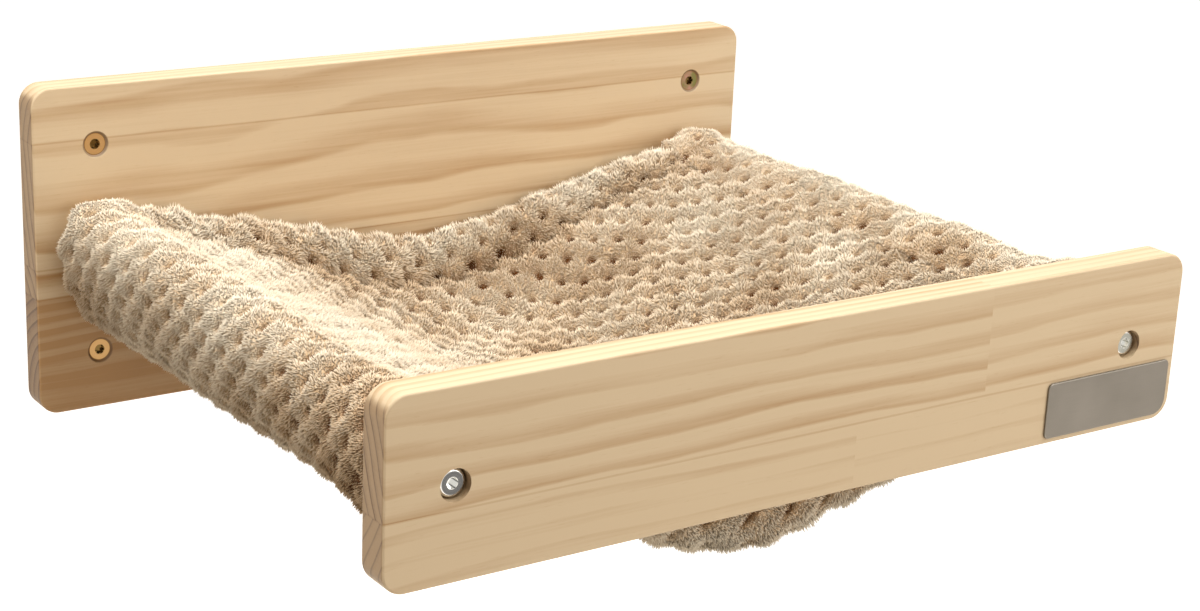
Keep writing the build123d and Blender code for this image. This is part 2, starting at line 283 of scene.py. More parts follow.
def brushed_plate(name):
    made, t, shader = new_material(name, Metallic=1.0, Anisotropic=0.4)
    x, y, z = t.split(t.node("ShaderNodeTexCoord").outputs["Object"])
    lines = t.noise(t.combine(t.math("MULTIPLY", x, 60.0), 0.0, t.math("MULTIPLY", z, 9000.0)), 1.0, 3.0, 0.7)
    cloud = t.noise(t.combine(x, y, z), 45.0, 2.0, 0.5)
    tone = t.math("ADD", t.math("MULTIPLY", lines, 0.5), t.math("MULTIPLY", cloud, 0.5))
    t.feed(shader.inputs["Base Color"], t.mix(tone, srgb(112, 106, 96), srgb(148, 141, 131)))
    t.feed(shader.inputs["Roughness"], t.span(lines, 0.2, 0.8, 0.34, 0.46))
    bump(t, shader, lines, 0.00002, 0.5)
    return made


def turned_head(name, off_x, off_z, recess, rim, colours, rough, bright_recess):
    """A screw head: its recess, face and rim differ, and rings run round its axis.

    colours: the recess, the left heads, the right heads and what they drift to, and the rim.
    Dark recesses and rims are painted shade, pale ones are painted reflection, and the change
    from the left heads to the right ones is partly painted reflection.
    recess and rim are radii, and bright_recess is the recess's own roughness.
    """
    made, t, shader = new_material(name, Metallic=1.0)
    x, y, z = t.split(t.node("ShaderNodeTexCoord").outputs["Object"])
    far = across_axis(t, x, z, off_x, off_z)
    drift = t.span(t.noise(t.combine(x, y, z), 150.0, 2.0, 0.5), 0.38, 0.62)
    rings = t.noise(t.combine(t.math("MULTIPLY", far, 9000.0), 0.0, 0.0), 1.0, 2.0, 0.6)
    inner, left, right, tint, edge = colours
    # The tone's change from left to right is partly painted reflection. The rim and recess colours below are
    # painted shade on the screws and painted reflection on the bolts.
    colour = t.mix(t.span(x, -0.1, 0.1), left, t.mix(drift, right, tint))
    colour = t.mix(t.span(rings, 0.45, 0.75, 0.0, 0.35), colour, edge)
    colour = t.mix(t.span(far, rim - 0.0002, rim + 0.0002, smooth=True), colour, edge)
    inside = t.span(far, recess - 0.0001, recess + 0.0002, 1.0, 0.0, smooth=True)
    colour = t.mix(inside, colour, inner)
    satin = t.span(rings, 0.3, 0.7, rough - 0.05, rough + 0.08)
    bright = t.math("MULTIPLY", inside, t.math("SUBTRACT", satin, bright_recess))
    t.feed(shader.inputs["Base Color"], colour)
    t.feed(shader.inputs["Roughness"], t.math("SUBTRACT", satin, bright))
    bump(t, shader, rings, 0.00002, 0.4)
    return made


def mottled(name, scale, detail, low, high, **fixed):
    made, t, shader = new_material(name, **fixed)
    where = t.node("ShaderNodeTexCoord").outputs["Object"]
    t.feed(shader.inputs["Base Color"], t.mix(t.noise(where, scale, detail), low, high))
    return made


# Zinc: its dark recess and rim are painted shade, and its darker right heads are partly painted reflection.
# Nickel: its dark left face, pale right face, pale socket and pale rim are painted reflection.
ZINC_AND_PAINTED_LIGHT = (srgb(112, 90, 52), srgb(188, 150, 100), srgb(112, 108, 64), srgb(158, 118, 100), srgb(128, 94, 54))
NICKEL_AND_PAINTED_REFLECTION = (srgb(236, 235, 230), srgb(84, 84, 84), srgb(160, 160, 150), srgb(184, 183, 172),
          srgb(226, 225, 221))
yellow_zinc = turned_head("yellow_zinc", SCREW_X, SCREW_Z, 0.0027, 0.0057, ZINC_AND_PAINTED_LIGHT, 0.42, 0.20)
bright_nickel = turned_head("bright_nickel", ROD_X, 0.0, 0.0027, 0.0052, NICKEL_AND_PAINTED_REFLECTION, 0.22, 0.16)
brass = plated("brass_insert", srgb(206, 172, 104), srgb(190, 150, 84), 0.34)
plate_steel = brushed_plate("satin_steel_plate")
film = mottled("adhesive_film", 400.0, 2.0, srgb(228, 226, 220), srgb(206, 203, 196), Roughness=0.6)

finishes = {"back_board": back_pine, "front_board": front_pine, "rod": rod_pine, "insert": brass,
            "bolt": bright_nickel, "wall_screw": yellow_zinc, "corner_plate": plate_steel,
            "plate_adhesive": film}
for node_name, thing in nodes.items():
    for start, finish_material in finishes.items():
        if node_name.startswith(start):
            thing.data.materials.clear()
            thing.data.materials.append(finish_material)
print("finished:", sorted(n for n in nodes if nodes[n].data.materials))

# %% [markdown]
# ## The hang of the mat
# The mat is slack cloth with a little wadding, so between its rods it takes a shape that can be
# written down: a round trough, two straight flanks, then a wrap over each rod and a slack return
# under it. A cloth simulation would find some hang, but hardly the very one in the picture, and
# would be likely to drag the dimples off their rows. So the section is written as arcs and lines,
# the same as in the solid model, and a point on the cloth is found from its distance along the
# section, its depth from the wall and how far it lies under the top face.

# %% Section of the mat
# GAP is the air between two pieces that lie against each other
ROD_R, GAP = 0.0125, 0.0003
PLUSH, MAT = 0.010, 0.0246
TROUGH_R = 0.140
WRAP_R = ROD_R + GAP + PLUSH
BACK, FRONT = 0.0185, 0.3765
BACK_CREASE, FRONT_CREASE = 0.0455, 0.3495
MAT_END_GAP, SEAM_REACH = 0.018, 0.070


def ease(value, low, high):
    share = np.clip((value - low) / (high - low), 0.0, 1.0)
    return share * share * (3.0 - 2.0 * share)


def hump(value, width):
    """1 where value is 0, and falling off to both sides."""
    return np.exp(-(value / width) ** 2)


def roll_sag(share, crown, rest, least, to_board, to_crease):
    """Sag over a hem, with share 0 at the board and 1 at the crease. It is least at the crown.

    rest is the share from the crown on, and the other two are how much lower the ends lie.
    """
    outside = least + to_board * np.abs((crown - share) / crown) ** 2.5
    inside = least + to_crease * np.clip((share - crown) / rest, 0.0, 1.0) ** 2
    return np.where(share < crown, outside, inside)


def sag_at(depth):
    """How far the middle of the mat's top hangs below the rods' axes, from back to front."""
    depth = np.asarray(depth, float)
    back_roll = roll_sag((depth - BACK) / (BACK_CREASE - BACK), 0.42, 0.58, 0.018, 0.009, 0.022)
    seat = 0.040 + 0.017 * ease(depth, 0.045, 0.102)
    front_roll = roll_sag((FRONT - depth) / (FRONT - FRONT_CREASE), 0.45, 0.55, 0.050, 0.005, 0.007)
    return np.where(depth < BACK_CREASE, back_roll, np.where(depth > FRONT_CREASE, front_roll, seat))


def wrap_at(depth):
    """Radius of the cloth over the rod: a little proud at the two hems."""
    ends = hump(depth - 0.030, 0.009) + hump(depth - 0.364, 0.009)
    return WRAP_R + 0.0012 * ends


def slack_at(depth):
    """Radius of the cloth's turn below the rod, on its way back under the mat."""
    return 0.047 - 0.012 * np.clip((depth - BACK_CREASE) / (FRONT_CREASE - BACK_CREASE), 0.0, 1.0)


def section(depth, sag=None):
    """Lengths and angles of the section's pieces at a depth."""
    sag, wrap, slack = sag_at(depth) if sag is None else sag, wrap_at(depth), slack_at(depth)
    high = TROUGH_R - sag
    slope = np.arcsin((TROUGH_R + wrap) / np.hypot(ROD_X, high)) - np.arctan2(high, ROD_X)
    trough = TROUGH_R * slope
    turn = np.stack([TROUGH_R * np.sin(slope), high - TROUGH_R * np.cos(slope)])
    touch = np.stack([ROD_X - wrap * np.sin(slope), wrap * np.cos(slope)])
    flank = np.hypot(*(touch - turn))
    slack_x = ROD_X + wrap - slack
    drop = MAT + GAP
    seam_x = ROD_X - (wrap - drop) * np.sin(slope) - SEAM_REACH * np.cos(slope)
    seam_z = (wrap - drop) * np.cos(slope) - SEAM_REACH * np.sin(slope)
    across, down, inner = seam_x - slack_x, -seam_z, slack - PLUSH
    tilt = np.arctan2(across, down) + np.arccos(inner / np.hypot(across, down))
    low_x, low_z = slack_x + inner * np.sin(tilt), -inner * np.cos(tilt)
    tail = np.hypot(seam_x - low_x, seam_z - low_z)
    lengths = [trough, flank, wrap * (np.pi / 2 + slope), slack * (np.pi / 2 - tilt), tail]
    return dict(high=high, slope=slope, turn=turn, wrap=wrap, slack=slack, slack_x=slack_x,
                tilt=tilt, lengths=lengths)


def cloth(along, depth, drop, sag=None):
    """The point at a distance along the section from its middle, under the top face by drop."""
    shape = np.broadcast(along, depth, drop).shape
    along, depth, drop = (np.broadcast_to(a, shape).astype(float) for a in (along, depth, drop))
    c = section(depth, sag)
    side, along = np.where(along < 0, -1.0, 1.0), np.abs(along)
    ends = np.cumsum(np.stack(c["lengths"]), axis=0)
    slope, tilt = c["slope"], c["tilt"]
    angle = along / TROUGH_R
    px, pz = TROUGH_R * np.sin(angle), c["high"] - TROUGH_R * np.cos(angle)
    nx, nz = -np.sin(angle), np.cos(angle)
    run = along - ends[0]
    on = along > ends[0]
    px = np.where(on, c["turn"][0] + run * np.cos(slope), px)
    pz = np.where(on, c["turn"][1] + run * np.sin(slope), pz)
    nx, nz = np.where(on, -np.sin(slope), nx), np.where(on, np.cos(slope), nz)
    for before, radius, centre, first in ((1, c["wrap"], ROD_X, np.pi / 2 + slope),
                                          (2, c["slack"], c["slack_x"], 0.0)):
        on = along > ends[before]
        angle = first - (along - ends[before]) / radius
        px = np.where(on, centre + radius * np.cos(angle), px)
        pz = np.where(on, radius * np.sin(angle), pz)
        nx, nz = np.where(on, np.cos(angle), nx), np.where(on, np.sin(angle), nz)
    on = along > ends[3]
    run = along - ends[3]
    px = np.where(on, c["slack_x"] + c["slack"] * np.sin(tilt) - run * np.cos(tilt), px)
    pz = np.where(on, -c["slack"] * np.cos(tilt) - run * np.sin(tilt), pz)
    nx, nz = np.where(on, np.sin(tilt), nx), np.where(on, -np.cos(tilt), nz)
    return np.stack([side * (px - drop * nx), -depth, pz - drop * nz], axis=-1)


def mat_end(depth, sag=None):
    """Where seat and belly end on the right, short of the rod, and the sleeve begins."""
    lengths = section(depth, sag)["lengths"]
    return lengths[0] + lengths[1] - MAT_END_GAP


def mat_start(depth):
    return -mat_end(depth)


def seam_end(depth):
    """Where the right sleeve is sewn under the mat."""
    return sum(section(depth)["lengths"])


middle = np.array([0.2])
print("half the mat's section:", [round(float(v[0]), 4) for v in section(middle)["lengths"]])

# %% [markdown]
# ## Dimples and knuckles
# The plush is embossed: hot pins press pits into it in staggered rows, and the pile between the rows
# swells into soft ribs, which look like hoops where the mat goes round a rod. Rows of pits lie
# 10.7 mm apart, and every other row is shifted by half a repeat. Cosines have just this order, so
# they give the height of the padding and the length of the pile.

# %% Embossed height
REPEAT = 0.02135
FIRST_ROW, FIRST_COLUMN = 0.0795, 0.002


def roll_noise(along, depth, size, seed):
    """Smooth unevenness from a few crossed waves, the same on every run."""
    random = np.random.default_rng(seed)
    total = np.zeros(np.broadcast(along, depth).shape)
    for _ in range(7):
        turn, shift = random.uniform(0, 2 * np.pi, 2)
        wave = size * random.uniform(0.7, 1.6)
        total = total + np.sin(2 * np.pi * (along * np.cos(turn) + depth * np.sin(turn)) / wave + shift)
    return total / 7 ** 0.5


def swell(along, depth, groove=0.0, pitted=1.0):
    """0 in a pit, about 0.8 in the valley between two knuckles and 1 on top of a knuckle.

    groove lowers the rows by that share, and pitted is the depth of the pits.
    """
    stray = [0.0008 * roll_noise(along, depth, 0.030, seed) for seed in (5, 6)]
    across = np.cos(2 * np.pi * (along + stray[0] - FIRST_COLUMN) / REPEAT)
    deep = np.cos(2 * np.pi * (depth + stray[1] - FIRST_ROW) / REPEAT)
    pit = 0.5 + 0.5 * across * deep
    return (1.0 - pitted * (0.36 * pit + 0.639 * pit ** 5)) * (1.0 - groove * deep ** 2)


# %% [markdown]
# ## Padded bodies
# Each layer of the mat is a closed body: a top sheet, a bottom sheet and walls round the edge. Both
# sheets come from the same grid of places on the cloth, so the body follows the hang exactly, and
# the pattern runs on from the seat over the rods without a break.


# %% Closed body from two sheets
def carry(mesh, fact, grid):
    """Writes a grid of numbers or arrows on the mesh's points, under a name."""
    wide = grid.shape[2] if grid.ndim == 3 else 1
    layer = mesh.attributes.new(fact, "FLOAT_VECTOR" if wide == 3 else "FLOAT", "POINT")
    layer.data.foreach_set("vector" if wide == 3 else "value", grid.astype(np.float32).ravel())


def signed_volume(mesh):
    mesh.calc_loop_triangles()
    corners = np.zeros(len(mesh.loop_triangles) * 3, np.int32)
    mesh.loop_triangles.foreach_get("vertices", corners)
    places = np.zeros(len(mesh.vertices) * 3, np.float32)
    mesh.vertices.foreach_get("co", places)
    t = places.reshape(-1, 3)[corners.reshape(-1, 3)].astype(float)
    return float(np.einsum("ij,ij->i", t[:, 0], np.cross(t[:, 1], t[:, 2])).sum() / 6)


def finished_body(name, mesh):
    """The mesh as an object in the scene, with its faces looking outwards."""
    mesh.validate()
    if signed_volume(mesh) < 0:
        mesh.flip_normals()
    body = bpy.data.objects.new(name, mesh)
    scene.collection.objects.link(body)
    return body


def closed_body(name, top, bottom, facts):
    """top and bottom: grids of points (rows, columns, 3). facts: named grids for the top sheet."""
    rows, columns = top.shape[:2]
    count = rows * columns
    points = np.concatenate([top.reshape(-1, 3), bottom.reshape(-1, 3)])
    index = np.arange(count).reshape(rows, columns)
    a, b, c, d = index[:-1, :-1], index[:-1, 1:], index[1:, 1:], index[1:, :-1]
    faces = [np.stack([a, d, c, b], -1).reshape(-1, 4)]
    faces.append(np.stack([a, b, c, d], -1).reshape(-1, 4) + count)
    ring = np.concatenate([index[0, :-1], index[:-1, -1], index[-1, :0:-1], index[:0:-1, 0]])
    after = np.roll(ring, -1)
    faces.append(np.stack([ring, after, after + count, ring + count], -1))
    mesh = bpy.data.meshes.new(name)
    mesh.from_pydata(points.tolist(), [], np.concatenate(faces).tolist())
    for fact, grid in facts.items():
        carry(mesh, fact, np.concatenate([grid, np.zeros_like(grid)]))
    return finished_body(name, mesh)


# %% [markdown]
# ## Pile
# The pile is what the eye sees, so it is real geometry: small tufts, each a thin pyramid of four
# triangles, spread evenly over the backing. Geometry Nodes are made for this. The tree scatters
# points no nearer than a set distance, stands a tuft on each, leans it by the nap and some chance,
# and makes its height from the pile length that the body carries. Hair strands would be finer, but
# they can't leave Blender as a mesh.


# %% Pile maker
def pile_tree():
    tree = bpy.data.node_groups.new("plush_pile", "GeometryNodeTree")
    sockets = {}
    wanted = [("Geometry", "NodeSocketGeometry", None), ("Spacing", "NodeSocketFloat", 0.0012),
              ("Tuft radius", "NodeSocketFloat", 0.0009), ("Chance lean", "NodeSocketFloat", 0.4),
              ("Clump lean", "NodeSocketFloat", 1.0), ("Seed", "NodeSocketInt", 1),
              ("Plush", "NodeSocketMaterial", None)]
    for label, kind, start in wanted:
        socket = tree.interface.new_socket(label, in_out="INPUT", socket_type=kind)
        if start is not None:
            socket.default_value = start
        sockets[label] = socket.identifier
    tree.interface.new_socket("Geometry", in_out="OUTPUT", socket_type="NodeSocketGeometry")
    t = Tree(tree)
    given = t.node("NodeGroupInput").outputs

    def fact(label, kind="FLOAT"):
        made = t.node("GeometryNodeInputNamedAttribute", {"Name": label}, data_type=kind)
        return made.outputs[0]

    def chance(low, high, offset, kind="FLOAT"):
        made = t.node("FunctionNodeRandomValue", data_type=kind)
        numbers = {"FLOAT": (2, 3), "FLOAT_VECTOR": (0, 1)}[kind]
        made.inputs[numbers[0]].default_value = low
        made.inputs[numbers[1]].default_value = high
        t.feed(made.inputs["Seed"], t.math("ADD", given["Seed"], offset))
        return made.outputs[1 if kind == "FLOAT" else 0]

    faced = t.node("GeometryNodeStoreNamedAttribute", {"Geometry": given["Geometry"], "Name": "lay"},
                   data_type="FLOAT_VECTOR", domain="POINT")
    calmer = t.vector("ADD", t.scaled(t.node("GeometryNodeInputNormal").outputs[0], 0.6),
                      t.scaled(fact("calm", "FLOAT_VECTOR"), 0.4))
    t.feed(faced.inputs["Value"], t.vector("NORMALIZE", calmer))
    scatter = t.node("GeometryNodeDistributePointsOnFaces", distribute_method="POISSON")
    t.feed(scatter.inputs["Mesh"], faced.outputs[0])
    t.feed(scatter.inputs["Distance Min"], given["Spacing"])
    dense = t.math("DIVIDE", 2.2, t.math("MULTIPLY", given["Spacing"], given["Spacing"]))
    t.feed(scatter.inputs["Density Max"], dense)
    t.feed(scatter.inputs["Density Factor"], fact("cover"))
    t.feed(scatter.inputs["Seed"], given["Seed"])
    cone = t.node("GeometryNodeMeshCone", {"Vertices": 3, "Radius Top": 0.0, "Radius Bottom": 1.0,
                                           "Depth": 1.0}, fill_type="NGON")
    height = t.split(t.node("GeometryNodeInputPosition").outputs[0])[2]
    tip = t.node("GeometryNodeStoreNamedAttribute", {"Geometry": cone.outputs[0], "Name": "along"},
                 data_type="FLOAT", domain="POINT")
    t.feed(tip.inputs["Value"], height)
    lean = t.vector("ADD", fact("lay", "FLOAT_VECTOR"), fact("nap", "FLOAT_VECTOR"))
    wander = t.scaled(chance((-1, -1, -1), (1, 1, 1), 3, "FLOAT_VECTOR"), given["Chance lean"])
    clump = t.node("ShaderNodeTexNoise", {"Vector": t.node("GeometryNodeInputPosition").outputs[0],
                                          "Scale": 190.0, "Detail": 1.0}, noise_dimensions="3D")
    clump = t.scaled(t.vector("SUBTRACT", clump.outputs["Color"], (0.5, 0.5, 0.5)), given["Clump lean"])
    lean = t.vector("ADD", t.vector("ADD", lean, wander), clump)
    spin = t.combine(0.0, 0.0, chance(0.0, 6.283, 5))
    turn = t.node("FunctionNodeAlignRotationToVector", {"Vector": lean}, axis="Z")
    first = t.node("FunctionNodeEulerToRotation", {0: spin})
    t.feed(turn.inputs["Rotation"], first.outputs[0])
    wide = t.math("MULTIPLY", given["Tuft radius"], chance(0.75, 1.25, 7))
    tall = t.math("MULTIPLY", fact("pile"), chance(0.6, 1.2, 11))
    stand = t.node("GeometryNodeInstanceOnPoints", {"Points": scatter.outputs["Points"],
                                                    "Instance": tip.outputs[0],
                                                    "Rotation": turn.outputs[0],
                                                    "Scale": t.combine(wide, wide, tall)})
    lay = t.node("GeometryNodeStoreNamedAttribute", {"Geometry": stand.outputs[0], "Name": "lay"},
                 data_type="FLOAT_VECTOR", domain="INSTANCE")
    t.feed(lay.inputs["Value"], fact("lay", "FLOAT_VECTOR"))
    tone = t.node("GeometryNodeStoreNamedAttribute", {"Geometry": lay.outputs[0], "Name": "tone"},
                  data_type="FLOAT", domain="INSTANCE")
    t.feed(tone.inputs["Value"], t.math("ADD", fact("shade"), chance(-0.11, 0.11, 13)))
    realised = t.node("GeometryNodeRealizeInstances", {"Geometry": tone.outputs[0]})
    backing = t.node("GeometryNodeStoreNamedAttribute", {"Geometry": faced.outputs[0], "Name": "tone"},
                     data_type="FLOAT", domain="POINT")
    t.feed(backing.inputs["Value"], fact("shade"))
    joined = t.node("GeometryNodeJoinGeometry")
    for piece in (realised.outputs[0], backing.outputs[0]):
        t.feed(joined.inputs[0], piece)
    painted = t.node("GeometryNodeSetMaterial", {"Geometry": joined.outputs[0]})
    t.feed(painted.inputs["Material"], given["Plush"])
    t.feed(t.node("NodeGroupOutput").inputs[0], painted.outputs[0])
    return tree, sockets


PILE_TREE, PILE_SOCKETS = pile_tree()


def grow_pile(body, material, **sizes):
    """Runs the tree on the body and puts the plain result in its place."""
    grower = body.modifiers.new("pile", "NODES")
    grower.node_group = PILE_TREE
    sizes["Plush"] = material
    for label, value in sizes.items():
        grower[PILE_SOCKETS[label.replace("_", " ")]] = value
    graph = bpy.context.evaluated_depsgraph_get()
    grown = bpy.data.meshes.new_from_object(body.evaluated_get(graph), preserve_all_data_layers=True,
                                            depsgraph=graph)
    body.modifiers.remove(grower)
    grown.name = body.name
    body.data = grown
    grown.polygons.foreach_set("use_smooth", np.ones(len(grown.polygons), bool))
    grown.calc_loop_triangles()
    print(body.name, len(grown.loop_triangles), "triangles")
    return body


# %% [markdown]
# ## Plush colour
# A tuft is darker near its root, partly dye and partly painted shade where shadow gathers, and
# creamy at its tip, where fibres are worn open and catch light. The tree stored how far along its
# tuft each point lies and a tone for each tuft, which carries its piece's painted light and shade,
# and the material mixes colours by those two and by slow clouds. The shader's normal follows the
# cloth more than the tuft, so the pile is lit as one soft surface.


# %% Plush material
def plush(name, root, mid, tip):
    made, t, shader = new_material(name, Roughness=0.95, Specular_IOR_Level=0.0)
    along = t.node("ShaderNodeAttribute", attribute_name="along").outputs["Fac"]
    tone = t.node("ShaderNodeAttribute", attribute_name="tone").outputs["Fac"]
    where = t.node("ShaderNodeTexCoord").outputs["Object"]
    cloud = t.noise(where, 26.0, 3.0, 0.55)
    level = t.math("ADD", t.math("MULTIPLY", along, 0.52), t.math("MULTIPLY", tone, 0.9))
    level = t.math("ADD", level, t.math("MULTIPLY", t.math("SUBTRACT", cloud, 0.5), 0.48))
    t.feed(shader.inputs["Base Color"], t.ramp(level, [(0.0, root), (0.45, mid), (1.0, tip)]))
    lay = t.node("ShaderNodeAttribute", attribute_name="lay").outputs["Vector"]
    own = t.node("ShaderNodeNewGeometry").outputs["Normal"]
    soft = t.vector("ADD", t.scaled(lay, 0.66), t.scaled(own, 0.34))
    t.feed(shader.inputs["Normal"], t.vector("NORMALIZE", soft))
    return made


cream_plush = plush("cream_plush", srgb(118, 74, 42), srgb(222, 192, 155), srgb(249, 236, 213))


# %% Grids over the cloth
def grid_over(first, last, back, front, step=0.0020):
    """Places on the cloth: distances along the section between two ends, at even depths."""
    rows = max(3, int(round((front - back) / step)))
    depth = np.linspace(back, front, rows)[:, None]
    starts, stops = first(depth), last(depth)
    columns = max(3, int(round(float(np.max(stops - starts)) / step)))
    share = np.linspace(0.0, 1.0, columns)[None, :]
    return starts + (stops - starts) * share, np.broadcast_to(depth, (rows, columns))


def edge_fade(depth):
    """0 at the boards, 1 away from them, so that no tuft grows into the wood."""
    return ease(depth, BACK - 0.001, BACK + 0.004) * ease(-depth, -FRONT - 0.001, -FRONT + 0.004)


def nap_field(along, depth, seed, strength):
    """Which way the pile lies: it wanders over the mat in soft patches, as a hand leaves it."""
    field = np.zeros((*np.broadcast(along, depth).shape, 3))
    for axis in range(3):
        field[..., axis] = strength * roll_noise(along, depth, 0.06, seed + 7 * axis)
    return field


def plush_layer(name, first, last, back, front, outer, inner, pile, nap, seed, puff, tone_and_painted_light,
                sign=1.0, groove=0.0, pitted=1.0, crest=0.0, rise=0.0, tuck=0.0,
                pits=0.86, ridge=0.0, low_shade=0.0, blend=0.0, **tufts):
    """One pile-faced layer. sign 1 has its pile on the top side of the cloth and -1 underneath.

    outer and inner are how far its backing and its other side lie under the mat's top face.
    Shape: puff is the padding's height, crest swells the front end, and rise and tuck let the
    cloth bulge over the rod and draw in below it. Tone: the base tone is set per piece and is
    partly painted light for how much light the piece gets. Four more amounts are painted shade:
    on the pits, on the rod's top, on the lower and outer side, and on the stretch by the seat,
    where the last takes a sleeve's painted light back down to the seat's.
    """
    along, depth = grid_over(first, last, back, front)
    out = np.abs(along)
    high = swell(along, depth, groove, pitted)
    rim = hump(depth - BACK - 0.011, 0.008) + hump(depth - FRONT + 0.011, 0.008)
    edge = ease(-depth, -BACK - 0.005, -BACK) + ease(depth, FRONT - 0.005, FRONT)
    bumps = puff * high + 0.0012 * roll_noise(along, depth, 0.07, seed) + 0.0018 * rim
    bumps = bumps + crest * hump(depth - FRONT + 0.026, 0.020)
    bumps = bumps * (1 - 0.75 * edge)
    lengths = section(depth)["lengths"]
    rod_top, over_rod = lengths[0] + lengths[1], lengths[2]
    outer = outer - rise * ease(out, rod_top - MAT_END_GAP, rod_top + 0.25 * over_rod)
    outer = outer + tuck * ease(out, rod_top + 0.25 * over_rod, rod_top + over_rod)
    top = cloth(along, depth, outer - sign * bumps)
    bottom = cloth(along, depth, np.full(along.shape, inner))
    calm = sign * (cloth(along, depth, outer) - cloth(along, depth, outer + 0.004)) / 0.004

    # Painted light and shade in the tone: darker in the pits, in the creases, on the rod's top and on the
    # lower and outer side, where shade falls, and lighter on the flanks, where the lamps fall on them.
    crease_shade = np.exp(-np.abs(depth - BACK_CREASE) / 0.006)
    crease_shade = crease_shade + np.exp(-np.abs(depth - FRONT_CREASE) / 0.006)
    under = ease(out, rod_top + 0.3 * over_rod, rod_top + over_rod)
    outside = ease(out, rod_top, rod_top + 0.25 * over_rod)
    shade = tone_and_painted_light + 0.10 * roll_noise(along, depth, 0.06, seed + 1) - pits * ease(-high, -0.76, -0.15)
    shade = shade - 0.22 * crease_shade + 0.16 * ease(out, 0.07, 0.17) * ease(-out, -0.26, -0.22)
    shade = shade - ridge * hump(out - rod_top, 0.018)
    shade = shade - blend * ease(-out, -rod_top - 0.010, MAT_END_GAP - rod_top)
    shade = shade - low_shade * (0.6 * under + 1.5 * outside * ease(depth, 0.20, 0.36))

    # Next to a board the tufts lean away from it
    direction = nap_field(along, depth, seed + 2, 0.16) + np.array(nap)
    direction[..., 1] += 0.9 * (ease(depth, FRONT - 0.007, FRONT) - ease(-depth, -BACK - 0.007, -BACK))
    facts = {"pile": (pile[0] + (pile[1] - pile[0]) * high) * (0.4 + 0.6 * edge_fade(depth)), "calm": calm,
             "cover": np.full(along.shape, 1.0), "nap": direction, "shade": shade}
    return grow_pile(closed_body(name, top, bottom, facts), cream_plush, Seed=seed, **tufts)


# %% [markdown]
# ## The mat's pieces
# On a bench the mat comes apart into a plush seat, a thin wadding, a plush belly, two rolled hems
# and two sleeves. Each is a piece of its own here too. The belly's pile is coarser than that of
# the others, because the picture doesn't show it.

# %% Seat, wadding and belly
FINE = dict(Spacing=0.00078, Tuft_radius=0.00048,
            Chance_lean=0.25, Clump_lean=0.9)
COARSE = dict(FINE, Spacing=FINE["Spacing"] * 1.4, Tuft_radius=FINE["Tuft_radius"] * 1.5)
SEAT_BACK, SEAT_FRONT = BACK_CREASE + GAP, FRONT_CREASE - GAP
seat = plush_layer("seat_plush_pile", mat_start, mat_end, SEAT_BACK, SEAT_FRONT,
                   0.0050, 0.0098, (0.0007, 0.0037), (0.02, -0.15, -0.25), 11,
                   puff=0.0060, tone_and_painted_light=0.46, pits=0.62, ridge=0.12, **FINE)
# The belly's lighter base tone is painted light on its shaded underside.
belly = plush_layer("belly_plush_pile", mat_start, mat_end, SEAT_BACK, SEAT_FRONT,
                    MAT - 0.0076, 0.0149, (0.0006, 0.0024), (0.0, 0.1, -0.1), 21, sign=-1.0,
                    puff=0.0038, tone_and_painted_light=0.84, **COARSE)
wad_along, wad_depth = grid_over(mat_start, mat_end, SEAT_BACK, SEAT_FRONT, 0.006)
lumps = 0.0004 * roll_noise(wad_along, wad_depth, 0.03, 31)
wadding = closed_body("wadding_sheet", cloth(wad_along, wad_depth, 0.0107 - lumps),
                      cloth(wad_along, wad_depth, 0.0140 + lumps), {})
wadding.data.materials.append(mottled("wadding_fleece", 300.0, 4.0, srgb(236, 234, 228),
                                      srgb(206, 203, 196), Roughness=0.95, Sheen_Weight=0.3))

# %% [markdown]
# ## Hems
# A hem is a roll: the plush turns over the mat's edge and is stuffed, so its pile shows on top, on
# the side towards the board and underneath. Its body is therefore a tube. A ring of places gives
# the tube's section, in millimetres: how deep from the wall, how far the mat sags there and how far
# under the top face. The ring is drawn once and carried along the mat from rod to rod.

# %% Hem maker
BACK_RING = [(45.2, 40.0, 4.4), (42.0, 33.0, 2.4), (38.0, 24.5, 1.0), (33.5, 19.0, 0.4), (28.5, 17.5, 0.6),
             (24.5, 18.5, 3.0), (22.4, 20.0, 7.0), (22.2, 20.0, 12.0), (23.0, 20.0, 17.0),
             (27.0, 21.0, 20.0), (33.0, 24.0, 21.0), (39.0, 32.0, 21.0), (45.2, 40.0, 20.4)]
FRONT_RING = [(349.8, 57.0, 5.0), (353.0, 54.5, 4.4), (357.0, 51.5, 4.0), (362.0, 50.0, 3.6),
              (366.5, 49.5, 3.8), (370.0, 50.0, 5.6), (372.0, 50.0, 8.0), (372.4, 51.0, 11.0),
              (371.6, 52.0, 14.2), (368.0, 53.0, 17.0), (362.0, 54.5, 18.8), (355.0, 56.0, 19.0),
              (349.8, 56.5, 19.0)]
HEM_PUFF, HEM_UNEVEN, HEM_SUNK, HEM_PAST = 0.0066, 0.0014, 0.0030, 0.012


def smooth_ring(ring):
    """Points at even steps along a soft curve through the ring's places."""
    step = 0.0022
    places = np.array(ring) * MM
    ends = np.vstack([2 * places[0] - places[1], places, 2 * places[-1] - places[-2]])
    share = np.linspace(0, 1, 12, endpoint=False)[:, None]
    runs = []
    for a, b, c, d in zip(ends, ends[1:], ends[2:], ends[3:]):
        runs.append(0.5 * (2 * b + (c - a) * share + (2 * a - 5 * b + 4 * c - d) * share ** 2
                           + (3 * b - a - 3 * c + d) * share ** 3))
    line = np.vstack([*runs, places[-1:]])
    flat = np.stack([line[:, 0], line[:, 1] + line[:, 2]], -1)
    far = np.concatenate([[0], np.cumsum(np.hypot(*np.diff(flat, axis=0).T))])
    even = np.linspace(0, far[-1], int(round(far[-1] / step)) + 1)
    return even, np.stack([np.interp(even, far, line[:, axis]) for axis in range(3)], -1)


